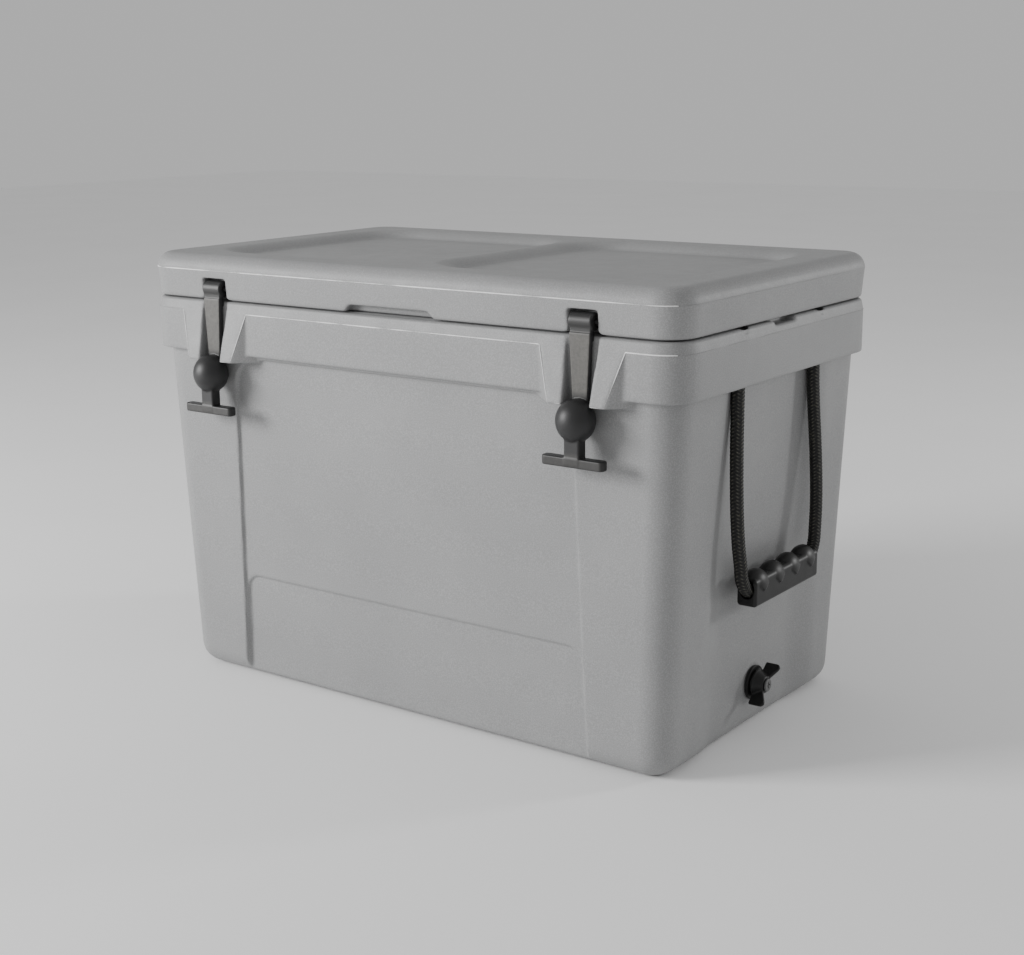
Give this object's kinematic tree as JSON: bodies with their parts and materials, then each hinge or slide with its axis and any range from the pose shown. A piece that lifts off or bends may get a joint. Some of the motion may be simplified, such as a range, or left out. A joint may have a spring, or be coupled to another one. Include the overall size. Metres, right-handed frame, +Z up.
{
  "type": "cooler box",
  "caption": "Rotomoulded cooler box with a hinged foam-filled lid, rubber T-latches over wedge keepers, rope handles with finger grips, and a wing drain plug.",
  "frame": {"origin": "centre of the box's footprint, on the flat underside that it stands on", "axes": "+X along the length towards the end with the drain plug, -Y towards the latches, +Z up"},
  "size_m": [0.656, 0.4179, 0.4458],
  "materials": {
    "grey_plastic": "matte",
    "foam": "matte",
    "black_rubber": "matte",
    "seal_rubber": "matte",
    "rope": "matte",
    "black_plastic": "satin",
    "steel": "satin"
  },
  "bodies": {
    "tub": {"body_shell": "grey_plastic", "body_foam": "foam", "body_foam_plug": "grey_plastic", "drain_gasket": "seal_rubber", "drain_spout": "black_plastic", "drain_nut": "black_plastic", "hinge_left_body_leaf": "steel", "hinge_left_pin": "steel", "hinge_right_body_leaf": "steel", "hinge_right_pin": "steel", "hinge_left_body_screw_1": "steel", "hinge_left_body_screw_2": "steel", "hinge_right_body_screw_1": "steel", "hinge_right_body_screw_2": "steel", "handle_left_knot_front": "rope", "handle_left_knot_back": "rope", "handle_right_knot_front": "rope", "handle_right_knot_back": "rope"},
    "lid": {"lid_shell": "grey_plastic", "lid_foam": "foam", "lid_foam_plug": "grey_plastic", "lid_gasket": "seal_rubber", "hinge_left_lid_leaf": "steel", "hinge_right_lid_leaf": "steel", "hinge_left_lid_screw_1": "steel", "hinge_left_lid_screw_2": "steel", "hinge_right_lid_screw_1": "steel", "hinge_right_lid_screw_2": "steel", "latch_left_pin": "steel", "latch_right_pin": "steel"},
    "latch_left": {"latch_left": "black_rubber"},
    "latch_right": {"latch_right": "black_rubber"},
    "handle_left": {"handle_left_rope": "rope", "handle_left_grip": "black_plastic"},
    "handle_right": {"handle_right_rope": "rope", "handle_right_grip": "black_plastic"},
    "drain_stem": {"drain_seal": "seal_rubber"},
    "drain_cap": {"drain_knob": "black_plastic", "drain_screw": "steel"}
  },
  "joints": [
    {"name": "lid_hinge", "type": "hinge", "parent": "tub", "child": "lid", "pos_m": [0, 0.196, 0.4013], "axis": [-1, 0, 0], "range_deg": [0, 100], "deforming": ["latch_left", "latch_right"]},
    {"name": "latch_left_swing", "type": "hinge", "parent": "lid", "child": "latch_left", "pos_m": [-0.2215, -0.1855, 0.413], "axis": [-1, 0, 0], "range_deg": [0, 115]},
    {"name": "latch_right_swing", "type": "hinge", "parent": "lid", "child": "latch_right", "pos_m": [0.2215, -0.1855, 0.413], "axis": [-1, 0, 0], "range_deg": [0, 115]},
    {"name": "handle_left_swing", "type": "hinge", "parent": "tub", "child": "handle_left", "pos_m": [-0.311, 0, 0.34], "axis": [0, 1, 0], "range_deg": [0, 90]},
    {"name": "handle_right_swing", "type": "hinge", "parent": "tub", "child": "handle_right", "pos_m": [0.311, 0, 0.34], "axis": [0, -1, 0], "range_deg": [0, 90]},
    {"name": "drain_slide", "type": "slide", "parent": "tub", "child": "drain_stem", "axis": [1, 0, 0], "range_m": [0, 0.0091]},
    {"name": "drain_turn", "type": "hinge", "parent": "drain_stem", "child": "drain_cap", "pos_m": [0.3, 0, 0.046], "axis": [1, 0, 0], "range_deg": [0, 1080]}
  ],
  "couplings": [
    {"joint": "drain_slide", "follows": "drain_turn", "m_per_rad": 0.00047746}
  ]
}
